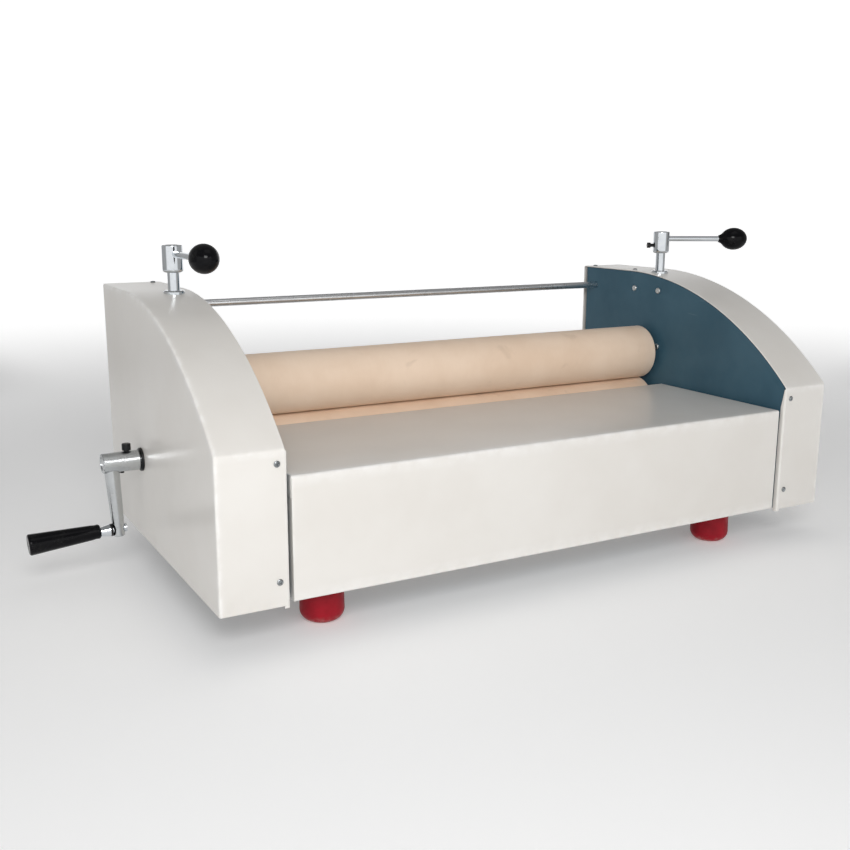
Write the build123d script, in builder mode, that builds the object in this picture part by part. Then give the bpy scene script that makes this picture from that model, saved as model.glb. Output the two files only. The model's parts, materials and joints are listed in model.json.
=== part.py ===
from build123d import *
import os
from math import atan, cos, pi, radians, sin, sqrt, tan

os.makedirs("parts", exist_ok=True)

# A hand-cranked table press with two rubber rollers, in millimetres.
# X runs along the rollers, Y from the feed side to the rear, Z up from the bench.
# The origin is on the bench, midway between the four feet.

# Frame, covers and tables
feed_width = 698.0  # clear width between the side plates
depth = 436.0  # over the covers, front to rear
foot_height = 48.0  # bench to the bottom edges of covers and plates
cover_height = 297.5  # bottom edge to the flat top
cover_front_height = 164.5  # bottom edge to the bend over the front
flat_top = 114.0  # level part of the cover's top, from the rear
cover_width = 73.0  # each end cover, along X
cover_bend = 2.5  # outer radius of the folded edges
cover_lip = 7.0  # lip beside the plate's front edge, from the cover's front face
cover_lip_drop = 3.0  # the lip reaches below the bottom edge
rear_bend = 3.0  # radius of the bend between flat top and rear
front_bend = 4.0  # radius of the bend between front and curve
sheet = 1.5  # covers and tables
plate_thick = 5.0
table_gap = 7.0  # table ends to side plates
table_rise = 1.0  # lower edge of the tables over the bottom edges
plate_front_step = 4.0  # plate edge behind the cover's front face
plate_rear_step = 9.0
plate_top_step = 2.0
table_height = 135.0  # table top over the bottom edges
table_front_step = 2.5
table_bend = 3.0
table_lip = 14.0  # folded edges of both tables
table_flange = 25.0  # end flanges that the screws go through
table_return = 14.0  # upright flanges at the ends of each apron
roller_window = 50.5  # roller axis to the edge of each table

# Rollers, gears and shafts
gear_module = 3.0
gear_teeth = 26
gear_width = 14.0
gear_gap = 2.0  # bearing block to gear
shaft_past_gear = 2.0
shaft_past_block = 4.0  # on the side without gears
cover_clear = 9.5  # shaft end to the inner face of the cover
gear_backlash = 0.4
pressure_angle = 20.0
nip_gap = 0.3  # between the rubber faces when closed
nip_height = 138.5  # nip line over the bottom edges
roller_y = 63.5  # both roller axes, behind the middle
rubber_thick = 8.85
tube_wall = 5.0
roller_end_gap = 10.0  # rubber end to side plate
journal_radius = 10.0
end_disc = 12.0  # discs on the shafts that fill the tube ends
crank_stub_radius = 8.0

# Bearing carriers behind each side plate
block_half = 24.0
block_above = 24.0
block_below = 22.0
rail_width = 10.0
nut_block_height = 28.0
nut_height = 271.0  # middle of the nut blocks over the bottom edges
nut_screw_spread = 26.5
bush_wall = 4.0
lift = 4.5  # travel of the upper roller
screw_out = 19.0  # pressure screw axis, outside the side plate
screw_radius = 7.0
pivot_radius = 6.0
pivot_depth = 8.0
spring_radius = 5.0
spring_wire = 1.0
spring_turns = 5
spring_spread = 16.0

# Pressure levers
hub_radius = 12.2
hub_height = 32.0
hub_low_round = 4.0
hub_top_round = 1.2
left_hub_rise = 24.0  # underside of the hub over the cover
right_hub_rise = 29.0
left_lever_angle = -88.0  # towards the feed side
right_lever_angle = -28.7
lever_reach = 109.0  # screw axis to the middle of the knob
lever_rod_radius = 4.0
lever_rod_drop = 10.5  # rod axis under the hub's top
shank_drop = 17.0  # top of the shank under the hub's top
set_screw_drop = 20.4
knob_radius = 16.5
knob_half = 19.8  # half the length of the oval part, along the rod
knob_neck = 23.0  # neck of the knob, from its middle
knob_neck_radius = 5.5
knob_meet = 145.0  # degrees round the oval, to where the neck starts
collar_radius = 12.5
collar_height = 3.2

# Crank
crank_hub_radius = 12.0
crank_hub_length = 43.5
crank_ring_radius = 14.0
crank_ring_thick = 3.0
crank_bolt_out = 14.0  # clamp bolt, from the inner end of the hub
crank_lock_out = 20.5  # lock screw, from the inner end of the hub
arm_out = 33.0  # arm axis, from the inner end of the hub
arm_tilt = 3.0  # degrees, the arm leans in towards the cover
arm_length = 91.0
crank_radius = 82.0
arm_top_radius = 9.2
arm_end_radius = 6.8
spindle_radius = 4.0
ferrule_length = 11.0
ferrule_small = 5.5
ferrule_large = 7.5
washer_thick = 2.7
grip_length = 82.0
grip_small = 8.5
grip_large = 12.7

# Feet, rails and rods
foot_x = 287.0
foot_inset = 60.0  # foot axis from the covers' front and rear faces
foot_radius = 25.0
foot_top_radius = 24.3
foot_sole_radius = 12.0
foot_recess_radius = 7.5
foot_recess = 21.0
rail_y_size = 50.0
rail_z_size = 25.0
rail_wall = 2.5
rail_end = 8.0
rod_radius = 5.0
rod_y = 187.0
rod_height = 269.0  # over the bottom edges

# Fasteners
m4 = 2.0
m5 = 2.5
m6 = 3.0
m8 = 4.0
cover_screw_x = 9.0  # front and rear cover screws, from the cover's edge
cover_screw_heights = (26.5, 150.0)
top_screw_x = 12.0
top_screw_insets = (112.0, 14.0)  # from the cover's rear face
bracket_width = 14.0
bracket_leg = 16.0
bracket_thick = 1.5
cap_head = 3.4  # radius of the cover screws' heads
cap_height = 2.2
cap_round = 1.3
table_head = 4.7
table_head_height = 2.8
table_head_round = 1.5
channel_head = 5.2
channel_head_height = 3.4
channel_head_round = 1.8
carrier_head = 4.4
carrier_head_height = 2.6
carrier_head_round = 1.6
carrier_thread = 20.0  # length of the carrier screws in the blocks
foot_head = 6.5
foot_head_height = 5.0
foot_head_round = 1.5
foot_nut_flats = 13.0
foot_nut_height = 6.5
rod_nut_flats = 16.0
rod_nut_height = 8.0
lever_head = 4.0
lever_head_height = 5.0
lever_head_round = 0.8
set_screw_out = 4.0  # head of the lever set screw over the hub
clamp_head = 5.2
clamp_head_height = 8.0
clamp_head_round = 1.2
clamp_out = 1.5  # head of the clamp bolt over the crank hub
lock_out = 1.5
spacer_radius = 6.5  # spacers between plates and tables
screw_end = 2.0  # thread past a nut
circlip_wide = 3.0  # over the shaft, on the radius
circlip_thick = 1.6
table_screw_inset = 30.0
channel_screw_spread = 14.0
rail_screw_rise = 10.0  # over the upper roller axis
block_edge = 1.5
edge_break = 0.8  # chamfer on shaft ends, rubber ends and rings
bottom_round = 2.0  # lower end of the crank arm
hub_chamfer = 1.0
rivet_radius = 5.2
rivet_height = 2.0
spindle_short = 12.0  # spindle end inside the grip's outer end
grip_small_round = 2.5
grip_large_round = 1.5
collar_chamfer = 1.5
gear_root = 1.25  # root depth over the module

# Clearances
fit = 0.05  # running and sliding fits, on the radius
seat = 0.05  # between pieces that sit on each other
slide_gap = 0.2
bolt_gap = 0.3
window_gap = 1.0  # shafts to the windows in plates and covers
collar_gap = 2.5  # pressure screw to the collar's neck
crank_gap = 0.5  # crank hub to the ring on the cover
washer_gap = 0.6
through = 1.0  # how far a cutting shape runs past what it cuts

# Worked out from the sizes above
plate_in = feed_width / 2
plate_out = plate_in + plate_thick
cover_in = plate_in
cover_out = cover_in + cover_width
shaft_left = cover_out - sheet - cover_clear
gear_out = shaft_left - shaft_past_gear
gear_in = gear_out - gear_width
block_out = gear_in - gear_gap
block_depth = block_out - plate_out
shaft_right = block_out + shaft_past_block
front_y = -depth / 2
rear_y = depth / 2
base_z = foot_height
top_z = base_z + cover_height
bend_z = base_z + cover_front_height
curve_y = rear_y - flat_top
table_z = base_z + table_height
table_half = plate_in - table_gap
pitch_radius = gear_module * gear_teeth / 2
root_radius = pitch_radius - gear_root * gear_module
roller_radius = pitch_radius - nip_gap / 2
nip_z = base_z + nip_height
lower_z = nip_z - pitch_radius
upper_z = nip_z + pitch_radius
tube_radius = roller_radius - rubber_thick
rubber_half = plate_in - roller_end_gap
bush_radius = journal_radius + bush_wall
lower_top = lower_z + block_above
upper_top = upper_z + block_above
nut_z = base_z + nut_height
nut_bottom = nut_z - nut_block_height / 2
carrier_half = block_half + slide_gap + rail_width
screw_x = plate_out + screw_out
top_screw_ys = [rear_y - inset for inset in top_screw_insets]
foot_y = rear_y - foot_inset
rod_z = base_z + rod_height

# The curved top is one arc, level where it meets the flat top.
curve_run = curve_y - front_y
curve_drop = cover_height - cover_front_height
curve_radius = (curve_run**2 + curve_drop**2) / (2 * curve_drop)
curve_z = top_z - curve_radius


def curve_height(y, inside=0.0):
    """Height of the cover's top at y, or of a line that runs a little inside it."""
    if y >= curve_y:
        return top_z - inside
    return curve_z + sqrt((curve_radius - inside) ** 2 - (y - curve_y) ** 2)


def side_outline(front, rear, inside, low):
    """The side view of a cover or plate, drawn a little inside the cover's top."""
    corner = curve_height(front, inside)
    middle = (front + curve_y) / 2
    with BuildLine() as outline:
        Line((front, low), (front, corner))
        ThreePointArc(
            (front, corner),
            (middle, curve_height(middle, inside)),
            (curve_y, top_z - inside),
        )
        Line((curve_y, top_z - inside), (rear, top_z - inside))
        Line((rear, top_z - inside), (rear, low))
        Line((rear, low), (front, low))
    make_face(outline.edges())


def along_x(x, y, z, side):
    """A plane at a point, whose normal points along X, away from the middle on that side."""
    return Plane(origin=(side * x, y, z), x_dir=(0, 1, 0), z_dir=(side, 0, 0))


def cylinder_along(plane, radius, start, end, mode=Mode.ADD):
    """A cylinder on the plane's normal, from start to end along it."""
    with Locations(plane.offset(start)):
        Cylinder(radius, end - start, align=bottom, mode=mode)


def axis_plane(origin, direction):
    """A plane for a turned profile: its x runs along the turning axis, its y away from it."""
    along = Vector(direction)
    normal = along.cross(Vector(0, 0, 1))
    return Plane(origin=origin, x_dir=along, z_dir=normal)


def upright_plane(x, y):
    """A plane for a profile turned about a vertical axis: x is the radius and y the height."""
    return Plane(origin=(x, y, 0), x_dir=(1, 0, 0), z_dir=(0, -1, 0))


def screw(shank, length, head, head_height, rounding):
    """A screw along Z: the head stands on Z = 0 and the shank hangs below it."""
    with BuildPart() as body:
        Cylinder(head, head_height, align=bottom)
        fillet(body.edges().group_by(Axis.Z)[-1], rounding)
        Cylinder(shank, length, align=top)
    return body.part


def hex_nut(bore, flats, height):
    with BuildPart() as body:
        with BuildSketch():
            RegularPolygon(flats / 2, 6, major_radius=False)
            Circle(bore + fit, mode=Mode.SUBTRACT)
        extrude(amount=height)
    return body.part


def save(block, name):
    block.part.label = name
    export_step(block.part, f"parts/{name}.step")
    print(name, len(block.part.solids()))


sides = (("left", -1), ("right", 1))
bottom = (Align.CENTER, Align.CENTER, Align.MIN)
top = (Align.CENTER, Align.CENTER, Align.MAX)

# Places that several pieces share, seen from the side as (Y, Z)
nut_screws = [(roller_y + s * nut_screw_spread, nut_z) for s in (-1, 1)]
rail_middle = block_half + slide_gap + rail_width / 2
rail_screws = [(roller_y + s * rail_middle, upper_z + rail_screw_rise) for s in (-1, 1)]
block_screws = [(roller_y + s * block_half, lower_z) for s in (-1, 1)]
carrier_screws = nut_screws + rail_screws + block_screws
table_screw_z = table_z - table_flange / 2
feed_front = front_y + table_front_step
feed_back = roller_y - roller_window
out_front = roller_y + roller_window
out_back = rear_y - plate_rear_step - table_front_step
feed_screws = [
    (feed_front + table_screw_inset, table_screw_z),
    (feed_back - table_screw_inset, table_screw_z),
]
out_screws = [
    (out_front + table_screw_inset / 2, table_screw_z),
    (out_back - table_screw_inset, table_screw_z),
]
channel_screws = [
    (row + s * channel_screw_spread, base_z + rail_z_size / 2)
    for row in (-foot_y, foot_y)
    for s in (-1, 1)
]


# The two side plates carry everything else. Each has a round window for the lower shaft
# and an upright one for the upper shaft to rise in.
for hand, side in sides:
    with BuildPart() as side_plate:
        with BuildSketch(Plane.YZ.offset(side * plate_in)):
            side_outline(
                front_y + plate_front_step,
                rear_y - plate_rear_step,
                plate_top_step,
                base_z,
            )
            with Locations((roller_y, lower_z)):
                Circle(journal_radius + window_gap, mode=Mode.SUBTRACT)
            with Locations((roller_y, upper_z + lift / 2)):
                SlotCenterToCenter(
                    lift,
                    2 * (journal_radius + window_gap),
                    rotation=90,
                    mode=Mode.SUBTRACT,
                )
            with Locations(*carrier_screws, *channel_screws):
                Circle(m6 + bolt_gap, mode=Mode.SUBTRACT)
            with Locations(*feed_screws, *out_screws):
                Circle(m5 + bolt_gap, mode=Mode.SUBTRACT)
            with Locations((rod_y, rod_z)):
                Circle(rod_radius + bolt_gap, mode=Mode.SUBTRACT)
        extrude(amount=side * plate_thick)
    save(side_plate, f"{hand}_side_plate")


# Each end cover is folded from one sheet: front, curved top, rear and outer side.
def cover_screw_planes(side):
    """Where the cover screws sit, each plane facing away from the sheet it lies on."""
    edge_x = side * (cover_in + cover_screw_x)
    top_x = side * (cover_in + top_screw_x)
    out = (side, 0, 0)
    planes = []
    for height in cover_screw_heights:
        for y, facing in ((front_y, -1), (rear_y, 1)):
            place = (edge_x, y, base_z + height)
            planes.append(Plane(origin=place, x_dir=out, z_dir=(0, facing, 0)))
    for y in top_screw_ys:
        planes.append(Plane(origin=(top_x, y, top_z), x_dir=out, z_dir=(0, 0, 1)))
    return planes


collar_z = curve_height(roller_y)
collar_neck = screw_radius + collar_gap
shaft_hole = journal_radius + window_gap
for hand, side in sides:
    with BuildPart() as cover:
        with BuildSketch(Plane.YZ.offset(side * cover_in)):
            side_outline(front_y, rear_y, 0, base_z)
        extrude(amount=side * cover_width)
        folds = cover.edges().filter_by(Axis.X)
        fillet(folds.sort_by_distance((side * cover_in, front_y, bend_z))[0], front_bend)
        folds = cover.edges().filter_by(Axis.X)
        fillet(folds.sort_by_distance((side * cover_in, rear_y, top_z))[0], rear_bend)
        outer_face = cover.faces().filter_by(Axis.X).sort_by(Axis.X)[-1 if side > 0 else 0]
        outer_edges = outer_face.edges().filter_by(lambda e: e.center().Z > base_z + through)
        fillet(outer_edges, cover_bend)
        with BuildSketch(Plane.YZ.offset(side * cover_in)):
            side_outline(front_y + sheet, rear_y - sheet, sheet, base_z - through)
        extrude(amount=side * (cover_width - sheet), mode=Mode.SUBTRACT)
        with Locations((side * (cover_in - sheet / 2), front_y + cover_lip / 2, base_z - cover_lip_drop)):
            Box(sheet, cover_lip, cover_front_height - front_bend + cover_lip_drop, align=bottom)
        for plane in cover_screw_planes(side):
            cylinder_along(plane, m4 + bolt_gap, -2 * sheet, sheet, Mode.SUBTRACT)
        with Locations((side * screw_x, roller_y, collar_z)):
            Cylinder(collar_neck + bolt_gap, 8 * sheet, mode=Mode.SUBTRACT)
        if side < 0:
            crank_side = along_x(cover_out, roller_y, lower_z, side)
            cylinder_along(crank_side, shaft_hole, -2 * sheet, sheet, Mode.SUBTRACT)
    save(cover, f"{hand}_cover")

# Angle tabs, spot-welded to the side plates, that the cover screws bite into
with BuildPart() as cover_brackets:
    for hand, side in sides:
        for plane in cover_screw_planes(side):
            inward = abs(plane.origin.X) - plate_out - seat
            face = -(sheet + seat)
            with Locations(plane):
                with Locations((-inward, 0, face)):
                    Box(
                        inward + bracket_width / 2,
                        bracket_width,
                        bracket_thick,
                        align=(Align.MIN, Align.CENTER, Align.MAX),
                    )
                    Box(
                        bracket_thick,
                        bracket_width,
                        bracket_leg,
                        align=(Align.MIN, Align.CENTER, Align.MAX),
                    )
            cylinder_along(plane, m4 + fit, face - 2 * bracket_thick, 0, Mode.SUBTRACT)
save(cover_brackets, "cover_brackets")

cover_screw = screw(m4, sheet + bracket_thick + screw_end, cap_head, cap_height, cap_round)
with BuildPart() as cover_screws:
    for hand, side in sides:
        for plane in cover_screw_planes(side):
            with Locations(plane.offset(seat)):
                add(cover_screw)
save(cover_screws, "cover_screws")


# Tables: one folded sheet on each side of the rollers, with lips below and end flanges
def table(front, back, apron, screws):
    """A table from front to back. The apron is its upright outer face, at front or at back."""
    low = base_z + table_rise
    wide, tall = back - front, table_z - low
    centre = ((front + back) / 2, (low + table_z) / 2)
    inward = 1 if apron == front else -1
    flange = table_flange - sheet / 2
    with BuildPart() as body:
        with BuildSketch(Plane.YZ.offset(-table_half)) as section:
            with Locations(centre):
                Rectangle(wide, tall)
            corners = section.vertices().sort_by_distance((-table_half, apron, low + tall / 2))
            fillet(corners[:2], table_bend)
            with Locations(centre):
                Rectangle(wide - 2 * sheet, tall - 2 * sheet, mode=Mode.SUBTRACT)
            with Locations((centre[0] + inward * table_lip, centre[1] - table_lip)):
                Rectangle(wide, tall, mode=Mode.SUBTRACT)
        extrude(amount=2 * table_half)
        for hand, side in sides:
            middle = centre[0] + inward * table_bend / 2
            with Locations((side * (table_half - sheet / 2), middle, table_z - table_flange)):
                Box(sheet, wide - table_bend, flange, align=bottom)
            upright = apron + inward * (table_return + table_bend) / 2
            with Locations((side * (table_half - sheet / 2), upright, low + sheet / 2)):
                Box(sheet, table_return - table_bend, tall - table_flange, align=bottom)
            for y, z in screws:
                boss = along_x(table_half, y, z, side)
                cylinder_along(boss, 2 * m5, -sheet - m5, -sheet / 2)
                cylinder_along(boss, m5 + fit, -3 * m5, through, Mode.SUBTRACT)
    return body


save(table(feed_front, feed_back, feed_front, feed_screws), "feed_table")
save(table(out_front, out_back, out_back, out_screws), "outfeed_table")

# Each table screw runs through its plate, a spacer and the boss behind the flange.
table_shank = plate_thick + table_gap + sheet + m5 - seat
table_screw = screw(m5, table_shank, table_head, table_head_height, table_head_round)
with BuildPart() as table_fasteners:
    for hand, side in sides:
        for y, z in feed_screws + out_screws:
            with Locations(along_x(plate_out + seat, y, z, side)):
                add(table_screw)
            spacer = along_x(table_half, y, z, side)
            cylinder_along(spacer, spacer_radius, seat, table_gap - seat)
            cylinder_along(spacer, m5 + seat, seat, table_gap - seat, Mode.SUBTRACT)
            cylinder_along(spacer, m5, seat, table_gap - seat)
save(table_fasteners, "table_fasteners")

# Two channels tie the plates together and carry the feet.
channel_half = plate_in - seat
for place, row in (("front", -foot_y), ("rear", foot_y)):
    with BuildPart() as channel:
        with Locations((0, row, base_z)):
            Box(2 * channel_half, rail_y_size, rail_z_size, align=bottom)
        with Locations((0, row, base_z + rail_wall)):
            Box(
                2 * (channel_half - rail_end),
                rail_y_size - 2 * rail_wall,
                rail_z_size,
                align=bottom,
                mode=Mode.SUBTRACT,
            )
        for hand, side in sides:
            with Locations((side * foot_x, row, base_z)):
                Cylinder(m8 + bolt_gap, 3 * rail_wall, mode=Mode.SUBTRACT)
            for y, z in channel_screws:
                if y * row > 0:
                    line = along_x(channel_half, y, z, side)
                    cylinder_along(line, m6 + fit, -2 * rail_end, through, Mode.SUBTRACT)
    save(channel, f"base_channel_{place}")

channel_shank = plate_thick + rail_end - through
channel_screw = screw(m6, channel_shank, channel_head, channel_head_height, channel_head_round)
with BuildPart() as channel_bolts:
    for hand, side in sides:
        for y, z in channel_screws:
            with Locations(along_x(plate_out + seat, y, z, side)):
                add(channel_screw)
save(channel_bolts, "base_channel_screws")

# Rubber feet with a recess below for the screw head
foot_round = foot_radius - foot_sole_radius
for place, row in (("front", -foot_y), ("rear", foot_y)):
    for hand, side in sides:
        with BuildPart() as foot:
            with BuildSketch(upright_plane(side * foot_x, row)):
                with BuildLine():
                    Line((foot_recess_radius, 0), (foot_sole_radius, 0))
                    CenterArc((foot_sole_radius, foot_round), foot_round, -90, 90)
                    Line((foot_radius, foot_round), (foot_top_radius, foot_height - seat))
                    Polyline(
                        (foot_top_radius, foot_height - seat),
                        (m8 + bolt_gap, foot_height - seat),
                        (m8 + bolt_gap, foot_recess),
                        (foot_recess_radius, foot_recess),
                        (foot_recess_radius, 0),
                    )
                make_face()
            revolve(axis=Axis((side * foot_x, row, 0), (0, 0, 1)))
        save(foot, f"foot_{place}_{hand}")

foot_shank = foot_height - foot_recess + rail_wall + foot_nut_height + screw_end
foot_screw = screw(m8, foot_shank, foot_head, foot_head_height, foot_head_round)
foot_nut = hex_nut(m8, foot_nut_flats, foot_nut_height)
with BuildPart() as foot_fasteners:
    for row in (-foot_y, foot_y):
        for hand, side in sides:
            place = (side * foot_x, row, foot_recess - seat)
            with Locations(Plane(origin=place, x_dir=(1, 0, 0), z_dir=(0, 0, -1))):
                add(foot_screw)
            with Locations((side * foot_x, row, base_z + rail_wall + seat)):
                add(foot_nut)
save(foot_fasteners, "foot_fasteners")

# Tie rod across the top of the plates, with a nut outside each plate
rod_end = plate_out + rod_nut_height + screw_end
with BuildPart() as top_tie_rod:
    cylinder_along(along_x(0, rod_y, rod_z, 1), rod_radius, -rod_end, rod_end)
    chamfer(top_tie_rod.edges(), edge_break)
save(top_tie_rod, "top_tie_rod")

rod_nut = hex_nut(rod_radius, rod_nut_flats, rod_nut_height)
with BuildPart() as tie_rod_nuts:
    for hand, side in sides:
        with Locations(along_x(plate_out + seat, rod_y, rod_z, side)):
            add(rod_nut)
save(tie_rod_nuts, "tie_rod_nuts")


# Bearing carriers outside the plates: a fixed lower block, two rails that stand on it,
# a block that slides between them, and a threaded nut block across the top.
def carrier_box(side, gap, half, low, high):
    """A box outside a plate, centred on the roller axes, as deep as the bearing blocks."""
    inner = plate_out + gap
    with Locations((side * (inner + block_out) / 2, roller_y, low)):
        Box(block_out - inner, 2 * half, high - low, align=bottom)


def screw_holes(side, points):
    for y, z in points:
        line = along_x(plate_out, y, z, side)
        cylinder_along(line, m6 + fit, -through, carrier_thread + screw_end, Mode.SUBTRACT)


bore_end = block_depth + through
for hand, side in sides:
    shaft_line = along_x(plate_out, roller_y, lower_z, side)
    with BuildPart() as lower_block:
        carrier_box(side, seat, carrier_half, lower_z - block_above, lower_top)
        chamfer(lower_block.edges().filter_by(Axis.X), block_edge)
        cylinder_along(shaft_line, bush_radius + seat, -through, bore_end, Mode.SUBTRACT)
        screw_holes(side, block_screws)
    save(lower_block, f"{hand}_lower_bearing_block")

    with BuildPart() as nut_block:
        carrier_box(side, seat, carrier_half, nut_bottom, nut_bottom + nut_block_height)
        chamfer(nut_block.edges().filter_by(Axis.Z), block_edge)
        with Locations((side * screw_x, roller_y, nut_z)):
            Cylinder(screw_radius + fit, 2 * nut_block_height, mode=Mode.SUBTRACT)
        screw_holes(side, nut_screws)
    save(nut_block, f"{hand}_nut_block")

    with BuildPart() as sliding_block:
        carrier_box(side, slide_gap, block_half, upper_z - block_below, upper_top)
        chamfer(sliding_block.edges().filter_by(Axis.X), block_edge)
        shaft_line = along_x(plate_out, roller_y, upper_z, side)
        cylinder_along(shaft_line, bush_radius + seat, 0, bore_end, Mode.SUBTRACT)
        with Locations((side * screw_x, roller_y, upper_top + seat)):
            Cylinder(pivot_radius + fit, pivot_depth + seat, align=top, mode=Mode.SUBTRACT)
    save(sliding_block, f"{hand}_sliding_bearing_block")

with BuildPart() as guide_rails:
    for hand, side in sides:
        for s in (-1, 1):
            rail_x = side * (plate_out + block_out + seat) / 2
            rail_height = nut_bottom - lower_top - 2 * seat
            with Locations((rail_x, roller_y + s * rail_middle, lower_top + seat)):
                Box(block_depth - seat, rail_width, rail_height, align=bottom)
        screw_holes(side, rail_screws)
save(guide_rails, "guide_rails")

carrier_shank = plate_thick + carrier_thread
carrier_screw = screw(m6, carrier_shank, carrier_head, carrier_head_height, carrier_head_round)
with BuildPart() as carrier_bolts:
    for hand, side in sides:
        for y, z in carrier_screws:
            with Locations(along_x(plate_in - seat, y, z, side).rotated((0, 180, 0))):
                add(carrier_screw)
save(carrier_bolts, "carrier_screws")

# Bronze bushes in the blocks
for level, z, name in (("lower", lower_z, "lower_bushes"), ("upper", upper_z, "upper_bushes")):
    with BuildPart() as bushes:
        for hand, side in sides:
            line = along_x(plate_out, roller_y, z, side)
            cylinder_along(line, bush_radius, 2 * seat + slide_gap, block_depth)
            cylinder_along(line, journal_radius + fit, 0, bore_end, Mode.SUBTRACT)
    save(bushes, name)

# Springs that lift the sliding blocks when the pressure screws are backed off
spring_low = lower_top + spring_wire + 2 * seat
spring_high = upper_z - block_below - spring_wire - 2 * seat
spring_length = spring_high - spring_low
with BuildPart() as spring_one:
    with BuildLine() as coil:
        Helix(spring_length / spring_turns, spring_length, spring_radius)
    with BuildSketch(Plane(coil.line @ 0, z_dir=coil.line % 0)):
        Circle(spring_wire)
    sweep(is_frenet=True)
with BuildPart() as return_springs:
    for hand, side in sides:
        for s in (-1, 1):
            with Locations((side * screw_x, roller_y + s * spring_spread, spring_low)):
                add(spring_one.part)
save(return_springs, "return_springs")


# Rollers: a shaft with two end discs, a steel tube on the discs and a rubber sleeve
def involute_tooth(plane):
    """One tooth on a plane's x axis, from inside the root circle out to the tip."""
    base = pitch_radius * cos(radians(pressure_angle))
    tip = pitch_radius + gear_module
    half = pi / (2 * gear_teeth) - gear_backlash / (4 * pitch_radius)
    pitch_roll = tan(radians(pressure_angle))
    at_pitch = pitch_roll - radians(pressure_angle)
    tip_roll = sqrt((tip / base) ** 2 - 1)
    steps = 4

    def flank(i):
        roll = tip_roll * i / steps
        r = base * sqrt(1 + roll**2)
        turn = half + at_pitch - (roll - atan(roll))
        return r, turn

    points = [flank(i) for i in range(steps + 1)]
    low_turn = points[0][1]
    right = [(r * cos(t), -r * sin(t)) for r, t in points]
    left = [(x, -y) for x, y in right]
    foot = root_radius - through
    foot_right = (foot * cos(low_turn), -foot * sin(low_turn))
    foot_left = (foot_right[0], -foot_right[1])
    with BuildSketch(plane) as tooth:
        with BuildLine():
            Line(foot_right, right[0])
            Spline(*right)
            ThreePointArc(right[-1], (tip, 0), left[-1])
            Spline(*reversed(left))
            Line(left[0], foot_left)
            Line(foot_left, foot_right)
        make_face()
    return tooth.sketch


def gear(z, first_tooth):
    with BuildPart() as body:
        with BuildSketch(Plane.YZ.offset(-gear_out)):
            with Locations((roller_y, z)):
                Circle(root_radius)
                with PolarLocations(0, gear_teeth, start_angle=first_tooth):
                    add(involute_tooth(Plane.XY))
                Circle(journal_radius + seat, mode=Mode.SUBTRACT)
        extrude(amount=gear_width)
    return body


def roller(name, z, first_tooth, stub):
    line = along_x(0, roller_y, z, 1)
    with BuildPart() as shaft:
        left_end = crank_stub_start if stub else shaft_left
        cylinder_along(line, journal_radius, -left_end, shaft_right)
        for hand, side in sides:
            disc = along_x(rubber_half, roller_y, z, side)
            cylinder_along(disc, tube_radius - tube_wall - seat, -end_disc, 0)
        if stub:
            cylinder_along(line, crank_stub_radius, -crank_stub_end, -crank_stub_start)
        chamfer(shaft.faces().filter_by(Axis.X).sort_by(Axis.X)[0].edges(), edge_break)
    save(shaft, f"{name}_roller_shaft")
    with BuildPart() as tube:
        cylinder_along(line, tube_radius, -rubber_half, rubber_half)
        cylinder_along(line, tube_radius - tube_wall, -rubber_half, rubber_half, Mode.SUBTRACT)
    save(tube, f"{name}_roller_tube")
    with BuildPart() as rubber:
        cylinder_along(line, roller_radius, -rubber_half, rubber_half)
        chamfer(rubber.edges(), edge_break)
        cylinder_along(line, tube_radius + seat, -rubber_half, rubber_half, Mode.SUBTRACT)
    save(rubber, f"{name}_roller_rubber")
    save(gear(z, first_tooth), f"{name}_gear")
    with BuildPart() as circlip:
        clip_out = block_out + circlip_thick
        cylinder_along(line, journal_radius + circlip_wide, block_out + seat, clip_out)
        cylinder_along(line, journal_radius + seat, block_out, clip_out + through, Mode.SUBTRACT)
    save(circlip, f"{name}_circlip")


crank_stub_start = cover_out + crank_ring_thick
crank_in = crank_stub_start + crank_gap
crank_out = crank_in + crank_hub_length
crank_stub_end = crank_out - hub_chamfer
tooth_step = 360 / gear_teeth
roller("lower", lower_z, 90, True)
roller("upper", upper_z, -90 + tooth_step / 2, False)

# Collars where the pressure screws come up through the covers
for hand, side in sides:
    with BuildPart() as collar:
        with Locations((side * screw_x, roller_y, collar_z - 2 * collar_height)):
            Cylinder(collar_radius, 3 * collar_height, align=bottom)
        chamfer(collar.edges().group_by(Axis.Z)[-1], collar_chamfer)
        with BuildSketch(Plane.YZ.offset(side * cover_in)):
            side_outline(front_y, rear_y, -seat, base_z)
        extrude(amount=side * cover_width, mode=Mode.SUBTRACT)
        with Locations((side * screw_x, roller_y, collar_z - 2 * sheet)):
            Cylinder(collar_neck, 4 * sheet, align=bottom)
        with Locations((side * screw_x, roller_y, collar_z)):
            Cylinder(screw_radius + bolt_gap, 8 * collar_height, mode=Mode.SUBTRACT)
    save(collar, f"{hand}_post_collar")

with BuildPart() as crank_ring:
    line = along_x(cover_out, roller_y, lower_z, -1)
    cylinder_along(line, crank_ring_radius, seat, crank_ring_thick)
    chamfer(crank_ring.edges().group_by(Axis.X)[0], edge_break)
    cylinder_along(line, journal_radius + bolt_gap, 0, crank_ring_thick, Mode.SUBTRACT)
save(crank_ring, "crank_shaft_ring")

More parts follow.
